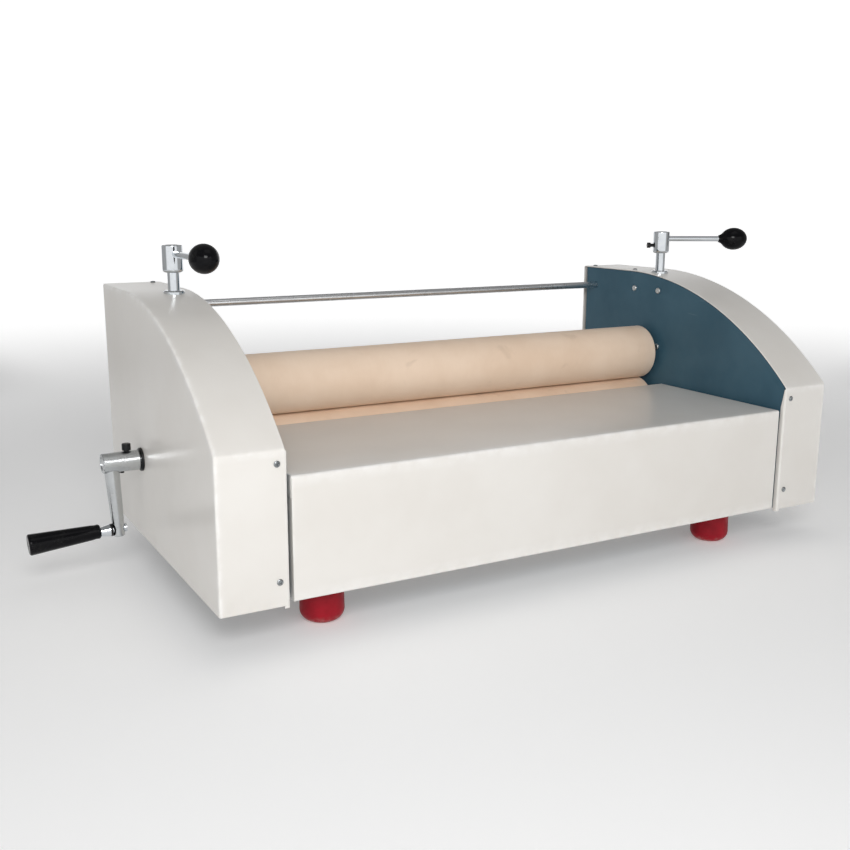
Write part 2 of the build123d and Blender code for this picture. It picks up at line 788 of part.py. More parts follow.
# Pressure levers: screw, hub, rod, knob and set screw on each side
lever_sides = (
    ("left", -1, left_hub_rise, left_lever_angle),
    ("right", 1, right_hub_rise, right_lever_angle),
)
cap_shank = hub_radius - screw_radius + set_screw_out
lever_cap = screw(m5, cap_shank, lever_head, lever_head_height, lever_head_round)
for hand, side, rise, angle in lever_sides:
    x = side * screw_x
    hub_low = collar_z + rise
    hub_top = hub_low + hub_height
    shank_top = hub_top - shank_drop
    ahead = (cos(radians(angle)), sin(radians(angle)), 0)
    behind = (-ahead[0], -ahead[1], 0)
    rod_line = Plane(origin=(x, roller_y, hub_top - lever_rod_drop), z_dir=ahead)
    set_line = Plane(origin=(x, roller_y, hub_top - set_screw_drop), z_dir=behind)

    with BuildPart() as pressure_screw:
        with Locations((x, roller_y, upper_top - pivot_depth + seat)):
            Cylinder(pivot_radius, 2 * pivot_depth, align=bottom)
        with Locations((x, roller_y, upper_top + 2 * seat)):
            Cylinder(screw_radius, shank_top - upper_top - 2 * seat, align=bottom)
    save(pressure_screw, f"{hand}_pressure_screw")

    with BuildPart() as hub:
        with Locations((x, roller_y, hub_low)):
            Cylinder(hub_radius, hub_height, align=bottom)
        fillet(hub.edges().group_by(Axis.Z)[0], hub_low_round)
        fillet(hub.edges().group_by(Axis.Z)[-1], hub_top_round)
        with Locations((x, roller_y, shank_top + seat)):
            Cylinder(screw_radius + seat, hub_height, align=top, mode=Mode.SUBTRACT)
        cylinder_along(rod_line, lever_rod_radius + seat, 0.5, 2 * hub_radius, Mode.SUBTRACT)
        cylinder_along(set_line, m5 + fit, screw_radius - through, 2 * hub_radius, Mode.SUBTRACT)
    save(hub, f"{hand}_lever_hub")

    with BuildPart() as lever_rod:
        cylinder_along(rod_line, lever_rod_radius, 1, lever_reach)
    save(lever_rod, f"{hand}_lever_rod")

    with BuildPart() as knob:
        ball = rod_line.offset(lever_reach).origin
        lean = radians(knob_meet)
        neck_end = (knob_half * cos(lean), knob_radius * sin(lean))
        with BuildSketch(axis_plane(ball, ahead)):
            with BuildLine():
                Line((-knob_neck, 0), (-knob_neck, knob_neck_radius))
                Line((-knob_neck, knob_neck_radius), neck_end)
                EllipticalCenterArc((0, 0), knob_half, knob_radius, arc_size=knob_meet)
                Line((knob_half, 0), (-knob_neck, 0))
            make_face()
        revolve(axis=Axis(ball, ahead))
        cylinder_along(rod_line, lever_rod_radius + seat, 0, lever_reach + seat, Mode.SUBTRACT)
    save(knob, f"{hand}_lever_knob")

    with BuildPart() as set_screw:
        with Locations(set_line.offset(hub_radius + set_screw_out)):
            add(lever_cap)
    save(set_screw, f"{hand}_lever_set_screw")

# Crank: hub on the end of the lower shaft, clamp bolt above, arm and turning grip below
hub_line = along_x(crank_in, roller_y, lower_z, -1)
bolt_place = (-crank_in - crank_bolt_out, roller_y, lower_z)
lock_place = (-crank_in - crank_lock_out, roller_y, lower_z)
bolt_line = Plane(origin=bolt_place, x_dir=(1, 0, 0), z_dir=(0, 0, 1))
lock_line = Plane(origin=lock_place, x_dir=(1, 0, 0), z_dir=(0, 0, -1))
tilt = radians(arm_tilt)
arm_down = Vector(sin(tilt), 0, -cos(tilt))
grip_out = Vector(-cos(tilt), 0, -sin(tilt))
arm_top = Vector(-crank_in - arm_out, roller_y, lower_z)
grip_root = arm_top + arm_down * crank_radius
arm_line = Plane(origin=arm_top, x_dir=(0, 1, 0), z_dir=arm_down)
grip_line = Plane(origin=grip_root, x_dir=(0, 1, 0), z_dir=grip_out)

with BuildPart() as crank_hub:
    cylinder_along(hub_line, crank_hub_radius, 0, crank_hub_length)
    chamfer(crank_hub.edges(), hub_chamfer)
    hub_end = crank_hub_length + through
    cylinder_along(hub_line, crank_stub_radius + seat, -through, hub_end, Mode.SUBTRACT)
    cylinder_along(bolt_line, m6 + fit, 0, 2 * crank_hub_radius, Mode.SUBTRACT)
    cylinder_along(lock_line, m5 + fit, 0, 2 * crank_hub_radius, Mode.SUBTRACT)
save(crank_hub, "crank_hub")

clamp_shank = crank_hub_radius - crank_stub_radius + clamp_out - seat
clamp_bolt = screw(m6, clamp_shank, clamp_head, clamp_head_height, clamp_head_round)
with BuildPart() as crank_clamp_bolt:
    with Locations(bolt_line.offset(crank_hub_radius + clamp_out)):
        add(clamp_bolt)
save(crank_clamp_bolt, "crank_clamp_bolt")

with BuildPart() as crank_lock_screw:
    cylinder_along(lock_line, m5, crank_stub_radius + seat, crank_hub_radius + lock_out)
save(crank_lock_screw, "crank_lock_screw")

with BuildPart() as crank_arm:
    with Locations(arm_line):
        Cone(arm_top_radius, arm_end_radius, arm_length, align=bottom)
    fillet(crank_arm.edges().sort_by(Axis(arm_top, arm_down))[-1:], bottom_round)
    cylinder_along(hub_line, crank_hub_radius + seat, -through, hub_end, Mode.SUBTRACT)
    spindle_hole = spindle_radius + seat
    cylinder_along(grip_line, spindle_hole, -2 * arm_top_radius, 2 * arm_top_radius, Mode.SUBTRACT)
save(crank_arm, "crank_arm")

washer_in = arm_end_radius + washer_gap
ferrule_in = washer_in + washer_thick
ferrule_out = ferrule_in + ferrule_length
spindle_end = ferrule_out + grip_length - spindle_short
with BuildPart() as grip_spindle:
    cylinder_along(grip_line, spindle_radius, -washer_in, spindle_end)
    cylinder_along(grip_line, rivet_radius, -washer_in - rivet_height, -washer_in)
    with Locations(grip_line.offset(ferrule_in + seat)):
        Cone(ferrule_large, ferrule_small, ferrule_length - seat, align=bottom)
save(grip_spindle, "grip_spindle")

with BuildPart() as grip_washer:
    cylinder_along(grip_line, ferrule_large, washer_in, ferrule_in)
    cylinder_along(grip_line, spindle_hole, 0, ferrule_in + through, Mode.SUBTRACT)
save(grip_washer, "grip_washer")

grip_start = ferrule_out + bolt_gap
with BuildPart() as crank_grip:
    with Locations(grip_line.offset(grip_start)):
        Cone(grip_small, grip_large, grip_length, align=bottom)
    ends = crank_grip.edges().filter_by(GeomType.CIRCLE).sort_by(Axis(grip_root, grip_out))
    fillet(ends[:1], grip_small_round)
    fillet(ends[-1:], grip_large_round)
    cylinder_along(grip_line, spindle_radius + fit, 0, spindle_end + bolt_gap, Mode.SUBTRACT)
save(crank_grip, "crank_grip")
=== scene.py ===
import json

import bmesh
import bpy
import numpy as np
from mathutils import Matrix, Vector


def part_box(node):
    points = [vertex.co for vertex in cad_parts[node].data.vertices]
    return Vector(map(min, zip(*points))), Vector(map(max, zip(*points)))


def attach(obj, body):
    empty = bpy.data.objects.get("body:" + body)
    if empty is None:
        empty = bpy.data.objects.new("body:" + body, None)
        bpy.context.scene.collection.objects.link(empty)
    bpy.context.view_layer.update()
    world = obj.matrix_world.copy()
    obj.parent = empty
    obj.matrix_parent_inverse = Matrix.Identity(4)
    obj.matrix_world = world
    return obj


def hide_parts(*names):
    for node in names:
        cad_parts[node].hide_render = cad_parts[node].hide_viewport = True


# A hand-cranked press with two rubber rollers. Metres, X along the rollers, Y to the rear, Z up.
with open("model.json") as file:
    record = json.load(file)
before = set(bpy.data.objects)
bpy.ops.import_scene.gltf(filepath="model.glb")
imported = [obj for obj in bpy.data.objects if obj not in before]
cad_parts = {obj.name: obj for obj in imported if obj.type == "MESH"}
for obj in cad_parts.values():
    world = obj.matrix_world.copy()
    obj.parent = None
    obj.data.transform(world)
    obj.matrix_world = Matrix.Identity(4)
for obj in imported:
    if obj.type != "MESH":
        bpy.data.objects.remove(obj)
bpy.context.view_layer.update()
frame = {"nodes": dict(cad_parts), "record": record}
nodes = frame["nodes"]
print("frame loaded:", len(nodes), "nodes")


def nodeBox(name):
    low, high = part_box(name)
    return np.array(low), np.array(high)


def nodeCentre(name):
    low, high = nodeBox(name)
    return (low + high) / 2


# An input of a shader node takes a link from another node's output, or a plain value.
def feed(tree, spot, value):
    if isinstance(value, bpy.types.NodeSocket):
        tree.links.new(value, spot)
    else:
        spot.default_value = value


# A shader node with its properties set and its inputs fed, by name, or by number as i0, i1.
def addNode(tree, kind, settings=None, **inputs):
    node = tree.nodes.new("ShaderNode" + kind)
    for key, value in (settings or {}).items():
        setattr(node, key, value)
    for key, value in inputs.items():
        numbered = key[0] == "i" and key[1:].isdigit()
        feed(tree, node.inputs[int(key[1:]) if numbered else key], value)
    return node


def noise(tree, place, scale, detail=3.0, rough=0.55, warp=0.0):
    values = {"Scale": scale, "Detail": detail, "Roughness": rough, "Distortion": warp}
    return addNode(tree, "TexNoise", Vector=place, **values).outputs["Fac"]


def stretched(tree, place, scale):
    return addNode(tree, "Mapping", Vector=place, Scale=scale).outputs[0]


# Runs smoothly from start to end as the value goes from low to high.
def ramp(tree, value, low, high, start=0.0, end=1.0):
    node = addNode(tree, "MapRange", {"interpolation_type": "SMOOTHSTEP"})
    tree.links.new(value, node.inputs["Value"])
    for key, number in zip(("From Min", "From Max", "To Min", "To Max"), (low, high, start, end)):
        node.inputs[key].default_value = number
    return node.outputs["Result"]


# The colour inputs of the mix node are 6 and 7, and its colour output is 2.
def blendColour(tree, factor, first, second):
    node = addNode(tree, "Mix", {"data_type": "RGBA"}, i0=factor, i6=first, i7=second)
    return node.outputs[2]


def calc(tree, operation, first, second):
    return addNode(tree, "Math", {"operation": operation}, i0=first, i1=second).outputs[0]


def colour(red, green, blue):
    return (red, green, blue, 1.0)


# A new material with its tree, its shader and the place on the object. Plain values go to the
# shader's inputs by name.
def startFinish(name, **plain):
    material = bpy.data.materials.new(name)
    material.use_nodes = True
    tree = material.node_tree
    shader = tree.nodes["Principled BSDF"]
    for key, value in plain.items():
        shader.inputs[key.replace("_", " ")].default_value = value
    place = addNode(tree, "TexCoord").outputs["Object"]
    return material, tree, shader, place


def plug(tree, shader, base, rough, height, distance, strength):
    bump = addNode(tree, "Bump", Height=height, Distance=distance, Strength=strength)
    for name, output in (("Base Color", base), ("Roughness", rough), ("Normal", bump.outputs[0])):
        tree.links.new(output, shader.inputs[name])


# Powder coat: a fine orange peel, faint clouds in the tone, paler edges where the mesh's edge
# values say so, partly wear and partly a painted highlight along the folds, and dust that
# gathers towards the bottom, from dustTop down to dustFull.
powderLook = {
    "light": colour(0.80, 0.775, 0.735),
    "warm": colour(0.76, 0.73, 0.685),
    "dust": colour(0.50, 0.46, 0.40),
    "rubbedAndHighlit": colour(0.90, 0.885, 0.86),
    "gloss": (0.29, 0.35),
    "peelScale": 620.0,
    "bump": 0.00045,
    "dustTop": 0.075,
    "dustFull": 0.045,
}


def powderCoat():
    plain = {"Specular_IOR_Level": 0.5, "Coat_Weight": 0.25, "Coat_Roughness": 0.22}
    material, tree, shader, place = startFinish("creamPowderCoat", **plain)
    clouds = noise(tree, place, 5.0, 4.0, 0.6)
    tone = blendColour(tree, ramp(tree, clouds, 0.35, 0.7), powderLook["light"], powderLook["warm"])
    level = addNode(tree, "SeparateXYZ", Vector=place).outputs["Z"]
    low = ramp(tree, level, powderLook["dustTop"], powderLook["dustFull"])
    patches = ramp(tree, noise(tree, place, 38.0, 3.0, 0.5), 0.42, 0.75, 0.0, 0.14)
    grime = calc(tree, "MULTIPLY", low, patches)
    tone = blendColour(tree, grime, tone, powderLook["dust"])
    # Paler where the edge values are high: partly wear, partly a painted highlight along folds and
    # sheet edges.
    edge = addNode(tree, "Attribute", {"attribute_name": "edge"}).outputs["Fac"]
    uneven = ramp(tree, noise(tree, place, 60.0, 4.0), 0.35, 0.65, 0.25, 0.8)
    rubAndHighlight = calc(tree, "MULTIPLY", edge, uneven)
    tone = blendColour(tree, rubAndHighlight, tone, powderLook["rubbedAndHighlit"])
    gloss = ramp(tree, noise(tree, place, 9.0, 2.0, 0.5), 0.3, 0.75, *powderLook["gloss"])
    peel = noise(tree, place, powderLook["peelScale"], 2.0, 0.5)
    waves = noise(tree, place, 14.0, 1.0, 0.4)
    height = calc(tree, "ADD", calc(tree, "MULTIPLY", peel, 0.09), waves)
    plug(tree, shader, tone, gloss, height, powderLook["bump"], 0.35)
    return material


# Slate paint on the side plates: matt, with scuffs drawn along Y by boards that brush past.
slateLook = {
    "deep": colour(0.036, 0.096, 0.140),
    "worn": colour(0.056, 0.128, 0.178),
    "scuff": colour(0.16, 0.23, 0.28),
    "gloss": (0.42, 0.56),
    "grain": 800.0,
    "bump": 0.00003,
}


def slatePaint():
    material, tree, shader, place = startFinish("slateBluePaint", Specular_IOR_Level=0.3)
    clouds = ramp(tree, noise(tree, place, 9.0, 4.0), 0.3, 0.72)
    tone = blendColour(tree, clouds, slateLook["deep"], slateLook["worn"])
    drag = noise(tree, stretched(tree, place, (1.0, 0.05, 1.0)), 260.0, 3.0, 0.5, 0.2)
    patch = ramp(tree, noise(tree, place, 16.0, 2.0), 0.52, 0.72)
    scuffs = calc(tree, "MULTIPLY", ramp(tree, drag, 0.66, 0.74, 0.0, 0.5), patch)
    tone = blendColour(tree, scuffs, tone, slateLook["scuff"])
    gloss = ramp(tree, noise(tree, place, 30.0, 4.0), 0.3, 0.7, *slateLook["gloss"])
    grain = noise(tree, place, slateLook["grain"], 2.0)
    plug(tree, shader, tone, gloss, grain, slateLook["bump"], 0.6)
    return material


# Ground rubber: fine rings left by grinding, soft darker blotches, and paler rims at the ends,
# which are a painted highlight.
rubberLook = {
    "pale": colour(0.930, 0.735, 0.570),
    "deep": colour(0.850, 0.645, 0.480),
    "blot": colour(0.560, 0.400, 0.280),
    "rim": colour(0.97, 0.86, 0.74),
    "gloss": (0.52, 0.66),
    "rings": 900.0,
    "grain": 1500.0,
    "bump": 0.00004,
}


def tanRubber():
    plain = {"Specular_IOR_Level": 0.35, "Sheen_Weight": 0.12, "Sheen_Roughness": 0.6}
    material, tree, shader, place = startFinish("tanRubber", **plain)
    clouds = ramp(tree, noise(tree, place, 11.0, 5.0, 0.6), 0.30, 0.72)
    tone = blendColour(tree, clouds, rubberLook["pale"], rubberLook["deep"])
    spots = ramp(tree, noise(tree, place, 34.0, 3.0, 0.5, 0.4), 0.64, 0.78, 0.0, 0.25)
    tone = blendColour(tree, spots, tone, rubberLook["blot"])
    rings = noise(tree, stretched(tree, place, (1.0, 0.02, 0.02)), rubberLook["rings"], 2.0, 0.6)
    grain = noise(tree, place, rubberLook["grain"], 2.0)
    tone = blendColour(tree, ramp(tree, rings, 0.35, 0.7, 0.0, 0.10), tone, rubberLook["deep"])
    edge = addNode(tree, "Attribute", {"attribute_name": "edge"}).outputs["Fac"]
    # Paler towards the ends, where the edge values are high: a painted highlight on the rims.
    tone = blendColour(tree, calc(tree, "MULTIPLY", edge, 0.7), tone, rubberLook["rim"])
    gloss = ramp(tree, noise(tree, place, 25.0, 3.0), 0.3, 0.7, *rubberLook["gloss"])
    height = calc(tree, "ADD", rings, calc(tree, "MULTIPLY", grain, 0.5))
    plug(tree, shader, tone, gloss, height, rubberLook["bump"], 0.7)
    return material


# Moulded rubber feet: red with darker clouds, and dusty where they meet the bench.
footLook = {
    "red": colour(0.36, 0.005, 0.016),
    "dark": colour(0.26, 0.004, 0.012),
    "dust": colour(0.42, 0.20, 0.18),
    "dustTop": 0.012,
    "gloss": (0.36, 0.52),
    "grain": 700.0,
    "bump": 0.00005,
}


def redRubber():
    material, tree, shader, place = startFinish("redRubber", Specular_IOR_Level=0.22)
    clouds = ramp(tree, noise(tree, place, 45.0, 4.0), 0.3, 0.7)
    tone = blendColour(tree, clouds, footLook["red"], footLook["dark"])
    level = addNode(tree, "SeparateXYZ", Vector=place).outputs["Z"]
    specks = ramp(tree, noise(tree, place, 160.0, 4.0), 0.4, 0.7, 0.0, 0.7)
    dusty = calc(tree, "MULTIPLY", ramp(tree, level, footLook["dustTop"], 0.0), specks)
    tone = blendColour(tree, dusty, tone, footLook["dust"])
    gloss = ramp(tree, noise(tree, place, 90.0, 3.0), 0.3, 0.7, *footLook["gloss"])
    grain = noise(tree, place, footLook["grain"], 3.0)
    plug(tree, shader, tone, gloss, grain, footLook["bump"], 0.6)
    return material


# Plated and bare metals share one build: a tone, dull smears, and hairlines that run across the
# axis whose line value is high.
metalLooks = {
    "chromePlate": {
        "tone": (0.74, 0.77, 0.80), "dull": (0.52, 0.55, 0.57), "rough": (0.03, 0.09),
        "line": (1.0, 1.0, 1.0), "lines": 420.0, "bump": 0.000004,
    },
    "satinNickel": {
        "tone": (0.62, 0.64, 0.65), "dull": (0.42, 0.43, 0.44), "rough": (0.20, 0.34),
        "line": (1.0, 1.0, 9.0), "lines": 300.0, "bump": 0.00001,
    },
    "brightSteel": {
        "tone": (0.80, 0.81, 0.82), "dull": (0.58, 0.58, 0.59), "rough": (0.22, 0.36),
        "line": (9.0, 1.0, 1.0), "lines": 260.0, "bump": 0.000015,
    },
    "zincPlate": {
        "tone": (0.70, 0.71, 0.71), "dull": (0.55, 0.55, 0.52), "rough": (0.26, 0.44),
        "line": (1.0, 1.0, 1.0), "lines": 220.0, "bump": 0.00001,
    },
    "bronzeBush": {
        "tone": (0.62, 0.41, 0.18), "dull": (0.34, 0.22, 0.10), "rough": (0.26, 0.42),
        "line": (9.0, 1.0, 1.0), "lines": 300.0, "bump": 0.00001,
    },
    "screwSteel": {
        "tone": (0.34, 0.36, 0.37), "dull": (0.16, 0.17, 0.17), "rough": (0.22, 0.36),
        "line": (1.0, 1.0, 1.0), "lines": 500.0, "bump": 0.00001,
    },
    "castIron": {
        "tone": (0.27, 0.27, 0.28), "dull": (0.15, 0.15, 0.155), "rough": (0.42, 0.60),
        "line": (1.0, 1.0, 1.0), "lines": 340.0, "bump": 0.00005,
    },
}


def metal(name):
    look = metalLooks[name]
    material, tree, shader, place = startFinish(name, Metallic=1.0)
    smear = ramp(tree, noise(tree, place, 28.0, 4.0, 0.6), 0.32, 0.72)
    hair = noise(tree, stretched(tree, place, look["line"]), look["lines"], 3.0, 0.6)
    dull = colour(*look["dull"])
    tone = blendColour(tree, calc(tree, "MULTIPLY", smear, 0.45), colour(*look["tone"]), dull)
    tone = blendColour(tree, ramp(tree, hair, 0.55, 0.75, 0.0, 0.3), tone, dull)
    mixed = calc(tree, "ADD", calc(tree, "MULTIPLY", hair, 0.5), calc(tree, "MULTIPLY", smear, 0.5))
    gloss = ramp(tree, mixed, 0.2, 0.8, *look["rough"])
    plug(tree, shader, tone, gloss, hair, look["bump"], 0.8)
    return material


# Oiled black steel and glossy phenolic: dark, with a little brown or grey where it is worn.
darkLooks = {
    "blackOxide": {
        "tone": (0.020, 0.021, 0.022), "worn": (0.085, 0.075, 0.066), "rough": (0.30, 0.46),
        "metallic": 0.75, "gloss": 0.5, "grain": 500.0, "bump": 0.00002,
    },
    "blackBakelite": {
        "tone": (0.003, 0.003, 0.004), "worn": (0.009, 0.009, 0.009), "rough": (0.10, 0.17),
        "metallic": 0.0, "gloss": 0.14, "grain": 160.0, "bump": 0.000006,
    },
}


def darkFinish(name):
    look = darkLooks[name]
    plain = {"Metallic": look["metallic"], "Specular_IOR_Level": look["gloss"]}
    material, tree, shader, place = startFinish(name, **plain)
    wear = ramp(tree, noise(tree, place, 70.0, 5.0, 0.65), 0.48, 0.78)
    tone = blendColour(tree, wear, colour(*look["tone"]), colour(*look["worn"]))
    gloss = ramp(tree, noise(tree, place, 55.0, 4.0), 0.3, 0.75, *look["rough"])
    plug(tree, shader, tone, gloss, noise(tree, place, look["grain"], 3.0), look["bump"], 0.7)
    return material


finishes = {
    "cream_powder_coat": powderCoat(),
    "slate_blue_paint": slatePaint(),
    "tan_rubber": tanRubber(),
    "red_rubber": redRubber(),
    "cast_iron": metal("castIron"),
    "bronze": metal("bronzeBush"),
    "chrome": metal("chromePlate"),
    "satin_nickel": metal("satinNickel"),
    "bright_steel": metal("brightSteel"),
    "zinc_plate": metal("zincPlate"),
    "black_oxide": darkFinish("blackOxide"),
    "black_bakelite": darkFinish("blackBakelite"),
}
print("finishes:", len(finishes))

slotOf = {part["node"]: part["material_slot"] for part in frame["record"]["subparts"]}
for nodeName, nodeObject in nodes.items():
    nodeObject.data.materials.clear()
    nodeObject.data.materials.append(finishes[slotOf[nodeName]])


# The quads of a grid of points, as numbers of its points row by row.
def gridQuads(grid):
    rows, columns = grid.shape[:2]
    index = np.arange(rows * columns).reshape(rows, columns)
    corners = (index[:-1, :-1], index[:-1, 1:], index[1:, 1:], index[1:, :-1])
    return np.stack(corners, axis=-1).reshape(-1, 4)


# Points are welded in cells of half a micrometre. The shift keeps round sizes off the cell walls.
weld = {"cellsPerMetre": 2e6, "shift": 0.3719}


# Grids of points, each (rows, columns, 3), become one mesh of quads. Points that coincide are
# welded, so seams and poles close, and a quad that loses a corner at a pole is a triangle.
# A grid may come with one number per point, from 0 to 1, which says how near an edge it is.
def makePiece(name, grids, body, replaced, crease=32.0, finish=None):
    points, faces, edges, count = [], [], [], 0
    for entry in grids:
        grid, near = entry if isinstance(entry, tuple) else (entry, np.zeros(entry.shape[:2]))
        points.append(grid.reshape(-1, 3))
        edges.append(near.reshape(-1))
        faces.append(gridQuads(grid) + count)
        count += near.size
    points, edges, faces = np.concatenate(points), np.concatenate(edges), np.concatenate(faces)
    keys = np.floor(points * weld["cellsPerMetre"] + weld["shift"]).astype(np.int64)
    _, first, inverse = np.unique(keys, axis=0, return_index=True, return_inverse=True)
    faces = inverse.reshape(-1)[faces]
    opposite = (faces != np.roll(faces, 2, axis=1)) | (np.arange(4) < 2)
    kept = (faces != np.roll(faces, 1, axis=1)) & opposite
    sides = kept.sum(axis=1)
    quads = faces[sides == 4].tolist()
    triangles = faces[sides == 3][kept[sides == 3]].reshape(-1, 3).tolist()
    mesh = bpy.data.meshes.new(name)
    mesh.from_pydata(points[first].tolist(), [], quads + triangles)
    nearEdge = mesh.attributes.new("edge", "FLOAT", "POINT").data
    nearEdge.foreach_set("value", edges[first].astype(np.float32))
    faceOut(mesh)
    mesh.polygons.foreach_set("use_smooth", np.full(len(mesh.polygons), True))
    mesh.set_sharp_from_angle(angle=np.radians(crease))
    piece = bpy.data.objects.new(name, mesh)
    bpy.context.scene.collection.objects.link(piece)
    slotName = slotOf[replaced[0]]
    mesh.materials.append(finish or finishes[slotName])
    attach(piece, body)
    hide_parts(*replaced)


def faceOut(mesh):
    work = bmesh.new()
    work.from_mesh(mesh)
    bmesh.ops.recalc_face_normals(work, faces=work.faces)
    work.to_mesh(mesh)
    work.free()


# Points of an arc in a plane: centre plus radius times (cos, sin), with the angles in degrees.
def arc(centre, radius, start, end, steps=8):
    angle = np.radians(np.linspace(start, end, steps))
    across, up = radius * np.cos(angle), radius * np.sin(angle)
    return np.stack([centre[0] + across, centre[1] + up], axis=1)


# A polyline in a plane with its corners rounded: corners are (a, b, radius), and each arc is
# tangent to both sides of its corner.
def roundedLine(corners, steps=7):
    corners = np.array(corners, float)
    pieces = [corners[:1, :2]]
    for before, corner, after in zip(corners[:-2], corners[1:-1], corners[2:]):
        into, out = before[:2] - corner[:2], after[:2] - corner[:2]
        into, out = into / np.linalg.norm(into), out / np.linalg.norm(out)
        half = np.arccos(np.clip(into @ out, -1, 1)) / 2
        radius = corner[2]
        if radius <= 0 or half > np.radians(89.5):
            pieces.append(corner[None, :2])
            continue
        reach = radius / np.tan(half)
        start, end = corner[:2] + into * reach, corner[:2] + out * reach
        middle = corner[:2] + (into + out) / np.linalg.norm(into + out) * radius / np.sin(half)
        sweep = np.linspace(0, 1, steps)[:, None]
        swing = np.pi - 2 * half
        first, last = start - middle, end - middle
        curve = (np.sin((1 - sweep) * swing) * first + np.sin(sweep * swing) * last) / np.sin(swing)
        pieces.append(middle + curve)
    pieces.append(corners[-1:, :2])
    return np.concatenate(pieces)


# A turned surface: profile rows are (distance along the axis, radius), and each point is
# origin + along * axis + radius * (cos(t) side + sin(t) other) for t round the axis.
def turned(profile, origin, axis, around=48):
    axis = np.array(axis, float) / np.linalg.norm(axis)
    helper = np.array([0.0, 0.0, 1.0]) if abs(axis[2]) < 0.9 else np.array([0.0, 1.0, 0.0])
    side = np.cross(helper, axis)
    side /= np.linalg.norm(side)
    other = np.cross(axis, side)
    turn = np.linspace(0, 2 * np.pi, around + 1)
    turn[-1] = 0.0
    ring = np.cos(turn)[:, None] * side + np.sin(turn)[:, None] * other
    return np.array(origin) + profile[:, None, :1] * axis + profile[:, None, 1:] * ring


# An upright bar: its section is a closed polygon with rounded corners, (x, y, radius), and each end
# closes on one point that sees the whole section.
def bar(corners, middle, low, high, steps=5):
    start = [(corners[0][i] + corners[-1][i]) / 2 for i in (0, 1)]
    loop = roundedLine([(*start, 0)] + corners + [(*start, 0)], steps)
    heights = np.concatenate([[low, low], np.linspace(low, high, 8)[1:-1], [high, high]])
    grid = np.empty((len(heights), len(loop), 3))
    grid[..., :2] = loop
    grid[0, :, :2] = grid[-1, :, :2] = middle
    grid[..., 2] = heights[:, None]
    return grid


# End covers. The side view is a line up the front, a rounded bend, one arc that ends level, the
# flat top, a rounded bend and the rear edge. Across X it carries a rounded sheet edge, the skin, a
# bend onto the side panel, and rings that close on the middle of the bottom edge. A lip of its own
# folds back along the front's inner edge, hangs lipDrop below it and thins out at the top.
coverSizes = {
    "frontHeight": 0.1645,
    "flatTop": 0.114,
    "sheet": 0.0015,
    "frontBend": 0.004,
    "rearBend": 0.0030,
    "sideBend": 0.0025,
    "sag": 0.00022,
    "lip": 0.007,
    "lipDrop": 0.003,
    "lipBend": 0.0014,
    "lipRound": 0.0006,
    "lipInset": 0.0003,
    "tongue": 0.004,
    "tongueThick": 0.001,
    "lipTaper": 0.03,
    "lipThinnest": 0.15,
    "lipRubbedAndHighlit": 0.35,
}


def coverLine(low, high):
    front, rear, base, top = low[1], high[1], low[2] + coverSizes["lipDrop"], high[2]
    flatY = rear - coverSizes["flatTop"]
    run, drop = flatY - front, top - base - coverSizes["frontHeight"]
    radius = (run**2 + drop**2) / (2 * drop)
    centre = np.array([flatY, top - radius])
    bend = coverSizes["frontBend"]
    bendY = front + bend
    bendZ = centre[1] + np.sqrt((radius - bend) ** 2 - (bendY - centre[0]) ** 2)
    arcStart = np.degrees(np.arctan2(bendZ - centre[1], bendY - centre[0]))
    back = coverSizes["rearBend"]
    spans = [
        (np.stack([np.full(24, front), np.linspace(base, bendZ, 24)], 1), np.full(24, 180.0)),
        (arc((bendY, bendZ), bend, 180, arcStart, 10), np.linspace(180, arcStart, 10)),
        (arc(centre, radius, arcStart, 90, 72), np.linspace(arcStart, 90, 72)),
        (np.stack([np.linspace(flatY, rear - back, 16), np.full(16, top)], 1), np.full(16, 90.0)),
        (arc((rear - back, top - back), back, 90, 0, 9), np.linspace(90, 0, 9)),
        (np.stack([np.full(36, rear), np.linspace(top - back, base, 36)], 1), np.zeros(36)),
    ]
    line = np.concatenate([s[0][1:] if i else s[0] for i, s in enumerate(spans)])
    lean = np.radians(np.concatenate([s[1][1:] if i else s[1] for i, s in enumerate(spans)]))
    # Edge values at the front bend and the rear corner pale the paint there: partly wear, partly a
    # painted highlight along the folds.
    bends = np.maximum(
        np.exp(-np.abs(line[:, 1] - bendZ) / 0.0022) * (line[:, 0] < front + 0.02),
        np.exp(-np.hypot(line[:, 0] - rear, line[:, 1] - top) / 0.003),
    )
    return line, np.stack([np.cos(lean), np.sin(lean)], 1), bends


